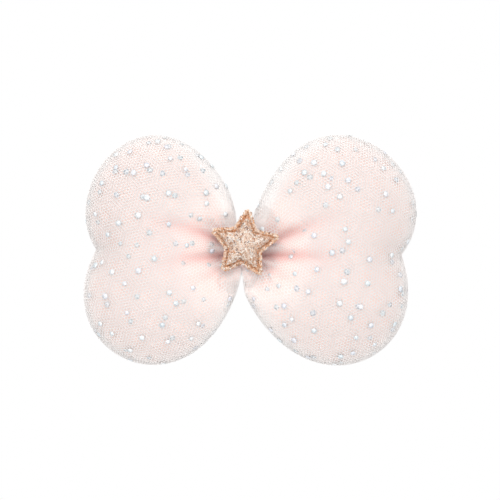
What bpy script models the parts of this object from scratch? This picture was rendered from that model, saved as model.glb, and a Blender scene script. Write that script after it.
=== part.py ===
"""Hair bow: a padded tulle bow with a glitter star at its waist, on an alligator clip.

Metres, +Z up. The bow stands upright and faces -Y, with its long side along X. The origin is the
middle of the flat rear face of the waist band, inside the mouth of the clip, where hair lies.
"""
import math

import bmesh
import bpy
import numpy as np
from mathutils import Vector

MM = 0.001
GAP = 0.3 * MM

# Wings: each of the four lobes is an egg (centre x and z, half length, half width, lean, taper)
LOBES = {
    "right_upper": (22.8, 5.0, 31.5, 21.6, 47.8, 0.35),
    "right_lower": (20.2, -1.2, 36.0, 23.5, 302.7, 0.163),
    "left_upper": (-24.6, 11.9, 23.0, 21.2, 155.1, 0.164),
    "left_lower": (-21.9, -4.9, 31.3, 21.5, 237.9, 0.204),
}
WING_CENTRE_X = 25.0 * MM
SWEEP_FROM = math.radians(166.0)  # where a wing's outline starts beside the waist, seen from its centre
MID_Y = -9.6 * MM  # plane of the side seams
PUFF = 12.5 * MM  # roundness: depth squared per unit of mean distance to the outline
BACK_SHARE = 0.72  # how deep the back bulges beside the front
NET_T = 0.3 * MM
LINING_IN = 3.0 * MM  # the pink lining stops this far inside the net
WADDING_IN = 5.0 * MM

# Waist: the gathered bundle, its thread and the band around it
PINCH_X = 3.1 * MM
PINCH_Z = 3.0 * MM
PINCH_DIP = 0.45
PINCH_REACH = 11.0 * MM
BAND_W = 5.6 * MM
BAND_T = 0.6 * MM
BAND_Z = 4.5 * MM
BAND_FRONT = -14.4 * MM
THREAD_R = 0.15 * MM
THREAD_TURNS = 3

# Star
STAR_X, STAR_Z = 0.4 * MM, 2.1 * MM
STAR_LEAN = math.radians(-6.0)
STAR_R_OUT, STAR_R_IN = 10.3 * MM, 5.6 * MM
STAR_TIP_R = 0.8 * MM
STAR_HEM = 1.3 * MM
STAR_BACK_Y = -16.8 * MM
STAR_BACKING_T = 0.8 * MM
STAR_RISE = 3.0 * MM
STITCH_R = 0.18 * MM

# Clip
STEEL_T = 0.8 * MM
ARM_Y = -2.0 * MM
TIP_X, TAIL_X = -24.6 * MM, 23.0 * MM
HINGE = Vector((10.0 * MM, 0.4 * MM, 0.0))
PIN_R, HOLE_R, EAR_R = 0.7 * MM, 1.0 * MM, 1.9 * MM
ARM_HALF_W, ARM_TIP_HALF_W = 3.6 * MM, 2.4 * MM
JAW_HALF_W, LEVER_HALF_W = 2.45 * MM, 3.4 * MM
FLANGE_T = 0.7 * MM
FLANGE_Z = 2.05 * MM
EAR_T, EAR_Z = 0.75 * MM, 3.17 * MM
TOOTH_PITCH = 1.6 * MM
TEETH = 12
COIL_R, WIRE_R = 1.35 * MM, 0.22 * MM
RIBBON_T = 0.4 * MM
RIBBON_HALF_W = 3.5 * MM

COLLECTION = "hair_bow"


# ------------------------------------------------------------------ scene and materials
def clear_scene():
    for obj in list(bpy.data.objects):
        bpy.data.objects.remove(obj, do_unlink=True)
    for name in (COLLECTION, "cutters"):
        old = bpy.data.collections.get(name)
        if old:
            bpy.data.collections.remove(old)
        bpy.context.scene.collection.children.link(bpy.data.collections.new(name))


def paint(obj, colour, roughness, metallic=0.0):
    mat = bpy.data.materials.new(obj.name + "_finish")
    mat.use_nodes = True
    shader = mat.node_tree.nodes["Principled BSDF"]
    shader.inputs["Base Color"].default_value = (*colour, 1.0)
    shader.inputs["Roughness"].default_value = roughness
    shader.inputs["Metallic"].default_value = metallic
    obj.data.materials.append(mat)


def place(name, data, collection=COLLECTION):
    obj = bpy.data.objects.new(name, data)
    bpy.data.collections[collection].objects.link(obj)
    return obj


# ------------------------------------------------------------------ modelling helpers
def grid_mesh(name, columns, rows, point):
    """A grid primitive whose corner (i, j) is moved to point(i / columns, j / rows), welded."""
    bm = bmesh.new()
    bmesh.ops.create_grid(bm, x_segments=columns, y_segments=rows, size=0.5)
    for vert in bm.verts:
        vert.co = point(vert.co.x + 0.5, vert.co.y + 0.5)
    bmesh.ops.remove_doubles(bm, verts=bm.verts, dist=0.001 * MM)
    mesh = bpy.data.meshes.new(name)
    bm.to_mesh(mesh)
    bm.free()
    mesh.shade_smooth()
    return mesh


def solidify(obj, thickness, offset=-1.0):
    mod = obj.modifiers.new("thickness", "SOLIDIFY")
    mod.thickness = thickness
    mod.offset = offset
    mod.use_even_offset = False
    return mod


def flat_curve(name, loops, thickness):
    """A flat outline in the XY plane, thick along Z, with any further loops as its holes."""
    curve = bpy.data.curves.new(name, "CURVE")
    curve.dimensions = "2D"
    curve.fill_mode = "BOTH"
    curve.extrude = thickness / 2
    curve.render_resolution_u = 0
    for loop in loops:
        spline = curve.splines.new("POLY")
        spline.points.add(len(loop) - 1)
        for point, (x, y) in zip(spline.points, loop):
            point.co = (x, y, 0.0, 1.0)
        spline.use_cyclic_u = True
    return curve


def tube_curve(name, points, radius, cyclic=False, resolution=1):
    curve = bpy.data.curves.new(name, "CURVE")
    curve.dimensions = "3D"
    curve.bevel_depth = radius
    curve.bevel_resolution = resolution
    curve.use_fill_caps = not cyclic
    curve.render_resolution_u = 0
    spline = curve.splines.new("POLY")
    spline.points.add(len(points) - 1)
    for point, place_at in zip(spline.points, points):
        point.co = (*place_at, 1.0)
    spline.use_cyclic_u = cyclic
    return curve


def to_mesh(obj):
    """Replaces a curve object, or one with modifiers, by its welded mesh."""
    depsgraph = bpy.context.evaluated_depsgraph_get()
    mesh = bpy.data.meshes.new_from_object(obj.evaluated_get(depsgraph), depsgraph=depsgraph)
    name, matrix = obj.name, obj.matrix_world.copy()
    home = obj.users_collection[0].name
    bpy.data.objects.remove(obj, do_unlink=True)
    bm = bmesh.new()
    bm.from_mesh(mesh)
    bmesh.ops.remove_doubles(bm, verts=bm.verts, dist=0.002 * MM)
    bm.to_mesh(mesh)
    bm.free()
    new = place(name, mesh, collection=home)
    new.matrix_world = matrix
    return new


def join_or_cut(obj, tool, operation):
    tool.hide_render = True
    tool.display_type = "WIRE"
    mod = obj.modifiers.new(operation.lower(), "BOOLEAN")
    mod.operation = operation
    mod.solver = "EXACT"
    mod.object = tool


def cylinder(name, radius, depth, location, segments=24, collection=COLLECTION):
    """A cylinder along Z."""
    bm = bmesh.new()
    bmesh.ops.create_cone(
        bm, cap_ends=True, segments=segments, radius1=radius, radius2=radius, depth=depth
    )
    mesh = bpy.data.meshes.new(name)
    bm.to_mesh(mesh)
    bm.free()
    obj = place(name, mesh, collection=collection)
    obj.location = location
    return obj


def rounded_rectangle(x0, x1, y0, y1, radius, steps=4):
    """Corner points of a rectangle with round corners, anticlockwise."""
    corners = [(x1 - radius, y1 - radius, 0), (x0 + radius, y1 - radius, 90),
               (x0 + radius, y0 + radius, 180), (x1 - radius, y0 + radius, 270)]
    points = []
    for cx, cy, start in corners:
        for step in range(steps + 1):
            angle = math.radians(start + 90 * step / steps)
            points.append((cx + radius * math.cos(angle), cy + radius * math.sin(angle)))
    return points


# ------------------------------------------------------------------ outline of the wings
def egg_reach(lobe, side):
    """Distance from the wing's centre to the egg, as a function of the direction."""
    cx, cz, half_length, half_width, lean, taper = LOBES[lobe]
    around = np.linspace(0.0, 2 * math.pi, 721)
    along = half_length * np.cos(around)
    across = half_width * np.sin(around) * (1 + taper * np.cos(around))
    c, s = math.cos(math.radians(lean)), math.sin(math.radians(lean))
    x = (cx + along * c - across * s) * MM - side * WING_CENTRE_X
    z = (cz + along * s + across * c) * MM
    direction = np.arctan2(z, side * x)
    order = np.argsort(direction)
    reach = np.hypot(x, z)[order]
    direction = direction[order]
    return lambda angle: np.interp(angle, direction, reach, period=2 * math.pi)


EGGS = {name: egg_reach(name, 1 if name.startswith("right") else -1) for name in LOBES}


def outline(side, u):
    """Point of a wing's outline: u runs from -1 below the waist round the wing to 1 above it."""
    name = "right" if side > 0 else "left"
    angle = SWEEP_FROM * u
    upper = EGGS[name + "_upper"](angle)
    lower = EGGS[name + "_lower"](angle)
    outer = np.maximum(upper, lower)
    inner = np.where(angle > 0, upper, lower)
    reach = np.where(np.abs(angle) < math.radians(50), outer, inner)
    x = side * (WING_CENTRE_X + reach * np.cos(angle))
    return x, reach * np.sin(angle)


def inset_outline(side, u, inset):
    """The outline moved inwards by inset, square to itself, and cut short beside the waist."""
    step = 0.012
    u = u * (1 - 0.012 * inset / MM)
    x0, z0 = outline(side, np.clip(u - step, -1, 1))
    x1, z1 = outline(side, np.clip(u + step, -1, 1))
    x, z = outline(side, u)
    length = np.maximum(np.hypot(x1 - x0, z1 - z0), 1e-9)
    return x - side * inset * (z1 - z0) / length, z + side * inset * (x1 - x0) / length


class Puff:
    """One layer of the bow: its plan, as two fans of lines from the waist, and its depth."""

    def __init__(self, inset, depth_share, cap_drop):
        self.inset = inset
        self.depth_share = depth_share
        self.cap_drop = cap_drop
        self.pinch_x = PINCH_X + 0.4 * inset
        self.pinch_z = PINCH_Z - 0.3 * inset
        u = np.linspace(-1, 1, 121)
        right = np.array(inset_outline(1, u, inset)).T
        left = np.array(inset_outline(-1, u, inset)).T
        strip = [(self.pinch_x, self.pinch_z), (-self.pinch_x, self.pinch_z)]
        floor = [(-self.pinch_x, -self.pinch_z), (self.pinch_x, -self.pinch_z)]
        self.rim = np.vstack([right, strip, left[::-1], floor])

    def plan(self, side, u, t):
        """Where line u of a wing is, a share t of its way from the waist to the outline."""
        end = np.array([float(v) for v in inset_outline(side, np.float64(u), self.inset)])
        start = np.array([side * self.pinch_x, self.pinch_z * u])
        beside = np.array([side * (self.pinch_x + 1.4 * MM), 6.3 * MM * u])
        middle = (start + end) / 2
        bend = middle + (beside - middle) * abs(u) ** 10
        return start * (1 - t) ** 2 + bend * 2 * t * (1 - t) + end * t * t

    def depth(self, x, z):
        """Half depth of the puff before it is pressed, from its mean distance to the outline."""
        start, end = self.rim, np.roll(self.rim, -1, axis=0)
        along = end - start
        length = np.maximum(np.hypot(*along.T), 1e-9)
        unit = along / length[:, None]
        rel = np.array([x, z]) - start
        s0 = (rel * unit).sum(axis=1)
        off = np.maximum(np.abs(rel[:, 0] * unit[:, 1] - rel[:, 1] * unit[:, 0]), 1e-6)
        s1 = s0 - length
        pull = (s0 / np.hypot(s0, off) - s1 / np.hypot(s1, off)) / off**2
        mean_distance = math.sqrt(2 / pull.sum())
        pinched = 1 - PINCH_DIP * math.exp(-((math.hypot(x, z) / PINCH_REACH) ** 2))
        return math.sqrt(PUFF * mean_distance) * pinched * self.depth_share

    def front(self, x, z):
        """Half depth in front: the star presses the net down behind it."""
        away = max(math.hypot(x - STAR_X, z - STAR_Z) - STAR_R_OUT - 3.5 * MM, 0.0)
        return soft_min(self.depth(x, z), 6.2 * MM - self.cap_drop + away**2 / (2 * MM))

    def back(self, x, z):
        """Half depth behind: a valley along the middle takes the clip."""
        away = max(abs(z) - 4.8 * MM, 0.0)
        cap = 4.4 * MM - self.cap_drop + away**2 / (9 * MM)
        return soft_min(self.depth(x, z) * BACK_SHARE, cap)


def soft_min(a, b):
    width = 0.8 * MM
    return (a + b - math.sqrt((a - b) ** 2 + width**2)) / 2 + width**2 / 8 / max(a, b, width)


def ease_line(s):
    """Spacing along a line that is closer together at the waist and at the outline."""
    return (1 - math.cos(s * math.pi)) / 2


def ease_rows(s):
    """Rows from -1 to 1, closer together towards the ends."""
    v = 2 * s - 1
    return v * (1.3 - 0.3 * v * v)


# ------------------------------------------------------------------ soft parts
ROWS = 26
LINES = 6  # steps from the waist to the outline
STRIP = 2  # steps across the waist


def puff_shell(name, layer, face, thickness, colour):
    """A domed sheet over both wings and the waist. face is -1 in front and 1 behind."""
    columns = 2 * LINES + STRIP
    rim_y = 0.35 * MM

    def point(a, b):
        u = ease_rows(b)
        step = a * columns
        if step < LINES:
            x, z = layer.plan(-1, u, ease_line(1 - step / LINES))
        elif step > LINES + STRIP:
            x, z = layer.plan(1, u, ease_line((step - LINES - STRIP) / LINES))
        else:
            share = (step - LINES) / STRIP
            x, z = layer.pinch_x * (2 * share - 1), layer.pinch_z * u
        on_rim = b < 1e-4 or b > 1 - 1e-4 or a < 1e-4 or a > 1 - 1e-4
        depth = 0.0 if on_rim else (layer.front(x, z) if face < 0 else layer.back(x, z))
        return x, MID_Y + face * (rim_y + depth), z

    obj = place(name, grid_mesh(name, columns, ROWS, point))
    if face > 0:
        obj.data.flip_normals()
    solidify(obj, thickness)
    paint(obj, colour, 0.8)
    return obj


def wadding(name, side):
    """The stuffing of one wing: a closed pad inside the lining."""
    layer = Puff(WADDING_IN, 0.68, 3.9 * MM)
    start = 0.16

    def surface(face):
        def point(a, b):
            u = ease_rows(b) * 0.98
            t = start + (1 - start) * ease_line(a)
            x, z = layer.plan(side, u, t)
            on_rim = b < 1e-4 or b > 1 - 1e-4 or a < 1e-4 or a > 1 - 1e-4
            depth = 0.0 if on_rim else (layer.front(x, z) if face < 0 else layer.back(x, z))
            return x, MID_Y + face * depth, z

        return grid_mesh(name, 6, 24, point)

    bm = bmesh.new()
    bm.from_mesh(surface(-1))
    bm.from_mesh(surface(1))
    bmesh.ops.remove_doubles(bm, verts=bm.verts, dist=0.001 * MM)
    bmesh.ops.recalc_face_normals(bm, faces=bm.faces)
    mesh = bpy.data.meshes.new(name)
    bm.to_mesh(mesh)
    bm.free()
    mesh.shade_smooth()
    paint(place(name, mesh), (0.93, 0.9, 0.88), 0.95)


def seam_allowance(name, side):
    """The raw edges turned in along a wing's seam: a narrow flat strip just inside the rim."""

    def point(a, b):
        u = 0.93 * (2 * a - 1)
        x, z = inset_outline(side, np.float64(u), (0.8 + 1.0 * b) * MM)
        return float(x), MID_Y, float(z)

    obj = place(name, grid_mesh(name, 48, 1, point))
    solidify(obj, 0.35 * MM, offset=0.0)
    paint(obj, (0.95, 0.93, 0.92), 0.85)


def soft_parts():
    net = Puff(0.0, 1.0, 0.0)
    lining = Puff(LINING_IN, 0.88, 1.5 * MM)
    pale_net = (0.96, 0.93, 0.91)
    pink = (0.93, 0.76, 0.72)
    puff_shell("front_net_cover", net, -1, NET_T, pale_net)
    puff_shell("back_net_cover", net, 1, NET_T, pale_net)
    puff_shell("front_lining", lining, -1, NET_T, pink)
    puff_shell("back_lining", lining, 1, NET_T, pink)
    for side, word in ((-1, "left"), (1, "right")):
        wadding(word + "_wadding", side)
        seam_allowance(word + "_seam_allowance", side)


# ------------------------------------------------------------------ waist
def gather_thread():
    """Thread wound round the gathered waist, with its two ends tucked in beside the last turns."""
    half_z = PINCH_Z + GAP + THREAD_R
    half_y = 3.3 * MM + GAP + THREAD_R
    count = 16 * THREAD_TURNS
    points = []
    for i in range(count + 1):
        angle = 2 * math.pi * i / 16
        x = (i / count - 0.5) * 2.4 * MM
        points.append((x, MID_Y - half_y * math.cos(angle), half_z * math.sin(angle)))
    obj = place("gather_thread", tube_curve("gather_thread", points, THREAD_R))
    paint(obj, (0.95, 0.86, 0.84), 0.7)


def waist_band():
    """A satin band wrapped once round the gathered waist and the clip's fixed arm."""
    outer = rounded_rectangle(-BAND_Z, BAND_Z, BAND_FRONT, 0.0, 1.2 * MM)
    inner = rounded_rectangle(
        -BAND_Z + BAND_T, BAND_Z - BAND_T, BAND_FRONT + BAND_T, -BAND_T, 0.6 * MM
    )
    obj = place("waist_band", flat_curve("waist_band", [outer, inner], BAND_W))
    obj.rotation_euler = (0.0, math.radians(90), 0.0)
    paint(obj, (0.93, 0.76, 0.72), 0.45)


def felt_backing():
    """Felt strip between the gathers and the clip."""
    outer = rounded_rectangle(-17 * MM, 17 * MM, -3.5 * MM, 3.5 * MM, 3.2 * MM, 6)
    obj = place("felt_backing", flat_curve("felt_backing", [outer], 1.0 * MM))
    obj.rotation_euler = (math.radians(90), 0.0, 0.0)
    obj.location = (0.0, -3.9 * MM, 0.0)
    paint(obj, (0.95, 0.93, 0.92), 0.95)


# ------------------------------------------------------------------ star
def star_points(inset=0.0, arc_steps=3, edge_steps=2):
    """The star's outline moved inwards by inset, with round tips, as x and z from its centre."""
    tips = []
    for k in range(10):
        radius = STAR_R_OUT if k % 2 == 0 else STAR_R_IN
        angle = STAR_LEAN + math.radians(90 + 36 * k)
        tips.append(Vector((radius * math.cos(angle), radius * math.sin(angle))))
    half_angle = math.atan2(
        STAR_R_IN * math.sin(math.radians(36)),
        STAR_R_OUT - STAR_R_IN * math.cos(math.radians(36)),
    )
    tip_back = inset / math.sin(half_angle)
    notch_back = inset / math.sin(half_angle + math.radians(36))
    round_r = max(STAR_TIP_R - inset * 0.3, 0.35 * MM)
    reach = round_r / math.tan(half_angle)
    points = []
    for k, corner in enumerate(tips):
        outward = corner.normalized()
        if k % 2:
            points.append(outward * (STAR_R_IN - notch_back))
            continue
        tip = outward * (STAR_R_OUT - tip_back + 0.9 * round_r)
        centre = tip - outward * (round_r / math.sin(half_angle))
        heading = math.atan2(outward.y, outward.x)
        spread = math.pi / 2 - half_angle
        for step in range(-arc_steps, arc_steps + 1):
            angle = heading + spread * step / arc_steps
            points.append(centre + round_r * Vector((math.cos(angle), math.sin(angle))))
    filled = []
    for here, there in zip(points, points[1:] + points[:1]):
        steps = edge_steps if (there - here).length > reach / 2 else 1
        for step in range(steps):
            filled.append(here.lerp(there, step / steps))
    return filled


def edge_distance(points, p):
    """Distance from p to the star's outline."""
    best = 1.0
    for a, b in zip(points, points[1:] + points[:1]):
        along = b - a
        share = max(0.0, min(1.0, (p - a).dot(along) / along.length_squared))
        best = min(best, (a + along * share - p).length)
    return best


def star_surface(name, inset, rings, height):
    """A star-shaped disc; height(d) is how far it stands proud a distance d inside its edge."""
    points = star_points(inset)
    corners = [math.atan2(p.y, p.x) for p in points]
    corners.append(corners[0] + 2 * math.pi)
    lengths = [p.length for p in points]
    lengths.append(lengths[0])
    count = len(points)

    def point(a, b):
        index = round(a * count)
        share = b**0.8
        angle = corners[index]
        p = Vector((math.cos(angle), math.sin(angle))) * lengths[index] * (1 - share)
        d = 0.0 if b < 1e-4 else edge_distance(points, p)
        return STAR_X + p.x, -height(d), STAR_Z + p.y

    return grid_mesh(name, count, rings, point)


def dome(inside):
    """Rise of the star's pad: steep just inside the seam, nearly flat on top."""
    return STAR_RISE * (1 - math.exp(-max(inside, 0.0) / (1.3 * MM)))


def flat_star(name, inset, thickness, rear_y, colour):
    points = [(p.x, p.y) for p in star_points(inset, edge_steps=1)]
    obj = place(name, flat_curve(name, [points], thickness))
    obj.rotation_euler = (math.radians(90), 0.0, 0.0)
    obj.location = (STAR_X, rear_y - thickness / 2, STAR_Z)
    paint(obj, colour, 0.95)


def star_parts():
    pad = cylinder("star_glue_pad", 3.0 * MM, 1.8 * MM, (0, 0, 0), segments=20)
    pad.rotation_euler = (math.radians(90), 0.0, 0.0)
    pad.location = (0.2 * MM, BAND_FRONT - GAP - 0.9 * MM, 0.6 * MM)
    paint(pad, (0.95, 0.93, 0.88), 0.4)
    flat_star("star_backing", 0.1 * MM, STAR_BACKING_T, STAR_BACK_Y, (0.93, 0.88, 0.86))

    pad_y = STAR_BACK_Y - STAR_BACKING_T - GAP
    bm = bmesh.new()
    bm.from_mesh(star_surface("star_padding", 2.1 * MM, 3, lambda d: 0.25 * MM + 0.85 * dome(d)))
    bm.from_mesh(star_surface("star_padding", 2.1 * MM, 3, lambda d: 0.0))
    bmesh.ops.bridge_loops(bm, edges=[edge for edge in bm.edges if edge.is_boundary])
    bmesh.ops.recalc_face_normals(bm, faces=bm.faces)
    mesh = bpy.data.meshes.new("star_padding")
    bm.to_mesh(mesh)
    bm.free()
    obj = place("star_padding", mesh)
    obj.location.y = pad_y
    paint(obj, (0.95, 0.94, 0.9), 0.95)

    front_y = pad_y - NET_T
    mesh = star_surface("star_front_fabric", 0.0, 6, lambda d: dome(d - STAR_HEM))
    obj = place("star_front_fabric", mesh)
    obj.location.y = front_y
    solidify(obj, NET_T)
    paint(obj, (0.72, 0.52, 0.42), 0.35, 0.7)

    seam = [
        (STAR_X + p.x, front_y - GAP - STITCH_R, STAR_Z + p.y)
        for p in star_points(0.7 * MM, arc_steps=2, edge_steps=3)
    ]
    obj = place("star_edge_stitching", tube_curve("star_edge_stitching", seam, STITCH_R, True))
    paint(obj, (0.6, 0.3, 0.16), 0.6)


# ------------------------------------------------------------------ clip
def strip_along(name, path, half_width, thickness):
    """A strip of sheet whose mid surface follows path, a list of (x, y); it lies flat along Z."""

    def point(a, b):
        x, y = path[round(a * (len(path) - 1))]
        return x, y, (2 * b - 1) * half_width(x)

    obj = place(name, grid_mesh(name, len(path) - 1, 1, point))
    solidify(obj, thickness, offset=0.0).use_even_offset = True
    return obj


def arm_half_width(x):
    share = min(max((x - TIP_X) / (0.0 - TIP_X), 0.0), 1.0)
    return ARM_TIP_HALF_W + (ARM_HALF_W - ARM_TIP_HALF_W) * share


def jaw_half_width(x):
    share = min(max((x - 12.5 * MM) / (3.5 * MM), 0.0), 1.0)
    return JAW_HALF_W + (LEVER_HALF_W - JAW_HALF_W) * share


def jaw_y(x):
    """Mid surface of the jaw: bowed over the waist band, then raised as a thumb lever."""
    bow = 2.4 * MM * (max(HINGE.x - x, 0.0) / (HINGE.x - TIP_X)) ** 2
    past = x - 11.5 * MM
    lever = 0.457 * (past + math.hypot(past, 2 * MM)) / 2
    return 2.7 * MM - bow + lever


def ear_outline(base_y, half_width):
    """A tab from base_y, round about the hinge pin."""
    points = [(HINGE.x - half_width, base_y), (HINGE.x + half_width, base_y)]
    for step in range(13):
        angle = math.radians(180 * step / 12)
        points.append((HINGE.x + EAR_R * math.cos(angle), HINGE.y + EAR_R * math.sin(angle)))
    return points


def flange_outline():
    """Side wall of the jaw: under the web, round the pin, and toothed along the mouth."""
    points = []
    for step in range(15):
        x = TIP_X + 0.3 * MM + (HINGE.x + 3.0 * MM - TIP_X) * (1 - step / 14)
        points.append((x, jaw_y(x)))
    for tooth in range(TEETH):
        x = TIP_X + 0.3 * MM + TOOTH_PITCH * tooth
        points.append((x, -0.55 * MM))
        points.append((x + 0.55 * TOOTH_PITCH, 0.22 * jaw_y(x) - 0.05 * MM))
    points.append((-4.6 * MM, 0.75 * MM))
    points.append((HINGE.x - 3.0 * MM, 0.75 * MM))
    for step in range(9):
        angle = math.radians(195 + 165 * step / 8)
        points.append((HINGE.x + EAR_R * 0.85 * math.cos(angle),
                       HINGE.y + EAR_R * 0.85 * math.sin(angle)))
    return points


def add_sides(obj, sides, outline_points, thickness, at_z):
    """Joins a side plate on each side to obj, then cuts the pin's hole through both."""
    for sign in (-1, 1):
        name = f"{sides}_{'near' if sign < 0 else 'far'}"
        plate = place(name, flat_curve(name, [outline_points], thickness), collection="cutters")
        plate.location = (0.0, 0.0, sign * at_z)
        bpy.context.view_layer.update()
        join_or_cut(obj, to_mesh(plate), "UNION")
    hole = cylinder(sides + "_hole", HOLE_R, 12 * MM, HINGE, collection="cutters")
    join_or_cut(obj, hole, "DIFFERENCE")


def clip_top_arm():
    path = [(TIP_X + (TAIL_X - TIP_X) * i / 12, ARM_Y) for i in range(13)]
    obj = strip_along("clip_top_arm", path, arm_half_width, STEEL_T)
    add_sides(obj, "arm_ear", ear_outline(ARM_Y, 2.6 * MM), EAR_T, EAR_Z)
    paint(obj, (0.75, 0.75, 0.76), 0.3, 1.0)


def clip_jaw(pivot):
    count = 26
    path = []
    for i in range(count + 1):
        x = TIP_X + (TAIL_X - TIP_X) * i / count
        path.append((x, jaw_y(x)))
    obj = strip_along("clip_jaw", path, jaw_half_width, FLANGE_T)
    add_sides(obj, "jaw_flange", flange_outline(), FLANGE_T, FLANGE_Z)
    paint(obj, (0.75, 0.75, 0.76), 0.3, 1.0)
    obj.parent = pivot
    obj.matrix_parent_inverse = pivot.matrix_world.inverted()


def hinge_pin():
    """A turned pin with a low head at each end."""
    head_r, head_t, half = 1.25 * MM, 0.5 * MM, 4.4 * MM
    profile = [(0, half), (head_r * 0.7, half), (head_r, half - head_t * 0.4),
               (head_r, half - head_t), (PIN_R, half - head_t),
               (PIN_R, head_t - half), (head_r, head_t - half),
               (head_r, head_t * 0.4 - half), (head_r * 0.7, -half), (0, -half)]
    mesh = bpy.data.meshes.new("hinge_pin")
    verts = [(x, 0.0, z) for x, z in profile]
    mesh.from_pydata(verts, [(i, i + 1) for i in range(len(verts) - 1)], [])
    obj = place("hinge_pin", mesh)
    obj.location = HINGE
    turn = obj.modifiers.new("turn", "SCREW")
    turn.steps = turn.render_steps = 20
    turn.use_merge_vertices = True
    turn.merge_threshold = 0.0001 * MM
    turn.use_smooth_shade = True
    paint(obj, (0.7, 0.7, 0.72), 0.3, 1.0)


def torsion_spring():
    """Two and a half coils round the pin, with a leg along the arm and one under the lever."""
    per_turn, turns, half = 14, 2.5, 0.9 * MM
    points = [(18.0 * MM, ARM_Y + STEEL_T / 2 + GAP + WIRE_R, -half)]
    count = int(per_turn * turns)
    for i in range(count + 1):
        angle = -math.pi / 2 - 2 * math.pi * i / per_turn
        z = -half + 2 * half * i / count
        points.append((HINGE.x + COIL_R * math.cos(angle), HINGE.y + COIL_R * math.sin(angle), z))
    points.append((18.0 * MM, 4.6 * MM, half))
    obj = place("torsion_spring", tube_curve("torsion_spring", points, WIRE_R, resolution=2))
    paint(obj, (0.6, 0.6, 0.62), 0.3, 1.0)


def clip_ribbon():
    """Grosgrain laid along the arm's outer face, turned round its tip and back into the mouth."""
    off = STEEL_T / 2 + GAP + RIBBON_T / 2
    tip = TIP_X
    path = [(22.0 * MM - (22.0 * MM - tip) * i / 6, ARM_Y - off) for i in range(7)]
    for step in range(1, 8):
        angle = math.radians(-90 - 180 * step / 8)
        path.append((tip + off * math.cos(angle), ARM_Y + off * math.sin(angle)))
    path += [(tip + (4.0 * MM - tip) * i / 4, ARM_Y + off) for i in range(5)]
    obj = strip_along("clip_ribbon", path, lambda x: RIBBON_HALF_W, RIBBON_T)
    paint(obj, (0.95, 0.85, 0.83), 0.8)


def main():
    clear_scene()
    pivot = bpy.data.objects.new("jaw_pivot", None)
    pivot.location = HINGE
    bpy.data.collections[COLLECTION].objects.link(pivot)
    bpy.context.view_layer.update()
    soft_parts()
    gather_thread()
    waist_band()
    felt_backing()
    star_parts()
    clip_top_arm()
    clip_jaw(pivot)
    hinge_pin()
    torsion_spring()
    clip_ribbon()


main()
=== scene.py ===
"""Looks of the hair bow: glitter-dotted tulle over padded pink cloth, with a glitter star at the waist.

Metres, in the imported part's frame: +Z up, the bow faces -Y, the origin is inside the clip's mouth.
"""

import math

import bmesh
import bpy
import numpy as np
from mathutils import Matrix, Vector


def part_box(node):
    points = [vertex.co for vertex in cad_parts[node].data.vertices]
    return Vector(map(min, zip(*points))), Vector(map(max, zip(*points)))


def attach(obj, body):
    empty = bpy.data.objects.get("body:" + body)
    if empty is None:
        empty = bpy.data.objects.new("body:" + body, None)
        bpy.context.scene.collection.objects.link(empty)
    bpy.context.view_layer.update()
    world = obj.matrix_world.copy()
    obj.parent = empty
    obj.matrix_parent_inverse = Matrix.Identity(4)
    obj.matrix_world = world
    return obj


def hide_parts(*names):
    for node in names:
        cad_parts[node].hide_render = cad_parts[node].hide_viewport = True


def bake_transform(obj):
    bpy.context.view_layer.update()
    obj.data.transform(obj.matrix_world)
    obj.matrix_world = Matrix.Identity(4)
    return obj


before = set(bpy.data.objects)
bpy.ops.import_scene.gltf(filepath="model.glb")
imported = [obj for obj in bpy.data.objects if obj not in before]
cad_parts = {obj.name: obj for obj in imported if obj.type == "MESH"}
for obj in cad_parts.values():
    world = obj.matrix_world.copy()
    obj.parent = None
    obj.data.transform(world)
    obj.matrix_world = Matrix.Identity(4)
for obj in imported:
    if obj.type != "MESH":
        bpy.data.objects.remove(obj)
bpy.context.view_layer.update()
MM = 0.001

# Wings: each of the four lobes is an egg (centre x and z, half length, half width, lean, taper)
LOBES = {
    "right_upper": (22.8, 5.0, 31.5, 21.6, 47.8, 0.35),
    "right_lower": (20.2, -1.2, 36.0, 23.5, 302.7, 0.163),
    "left_upper": (-24.6, 11.9, 23.0, 21.2, 155.1, 0.164),
    "left_lower": (-21.9, -4.9, 31.3, 21.5, 237.9, 0.204),
}
WING_CENTRE_X = 25.0 * MM
SWEEP_UP = math.radians(166.0)
SWEEP_DOWN = math.radians(170.9)
CLOSING_X = -0.66 * MM  # the wings' lower inner edges meet in this plane, under the waist band
PARTING, PARTING_Z = 0.12, 6.5 * MM  # below this they part, by this share of the way down
MID_Y = -9.6 * MM  # plane of the wings' rim
PUFF = 12.5 * MM  # half depth squared over the mean distance to the rim
BACK_SHARE = 0.72  # how deep the back is, as a share of the front
RIM_Y = 0.35 * MM  # half the gap between the front and the back net at the rim
PINCH_X, PINCH_Z = 3.1 * MM, 3.0 * MM  # half size of the waist inside its thread
PINCH_DIP, PINCH_REACH = 0.42, 12.0 * MM  # how much shallower the waist is, and how far that reaches
STAR_CAP = 6.3 * MM  # half depth of the cloth behind the star
VALLEY_DEPTH, VALLEY_Z = 4.4 * MM, 4.8 * MM  # half depth and half height of the valley for the clip
LINING_INSET, LINING_CAP = 0.8 * MM, 0.85 * MM  # inside the net: at the rim, at the star and the clip
CLOTH_GIVE = 0.45 * MM  # how far the cloth simulation may move a point

STAR_X, STAR_Z = -0.05 * MM, 1.65 * MM
STAR_LEAN = math.radians(-6.0)
# Reach in mm and turn in degrees of each of the star's tips
STAR_TIPS = ((10.45, -0.8), (10.25, -0.4), (9.9, 2.5), (10.1, -0.9), (10.65, 0.9))
STAR_R_OUT, STAR_R_IN = 10.3 * MM, 5.9 * MM
STAR_TIP_R = 1.0 * MM
STAR_FRONT_Y = -18.2 * MM  # front of the star's flat border
STAR_RISE = 3.0 * MM
STAR_GROOVE = 1.15 * MM  # how far inside its edge the star is sewn

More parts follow.
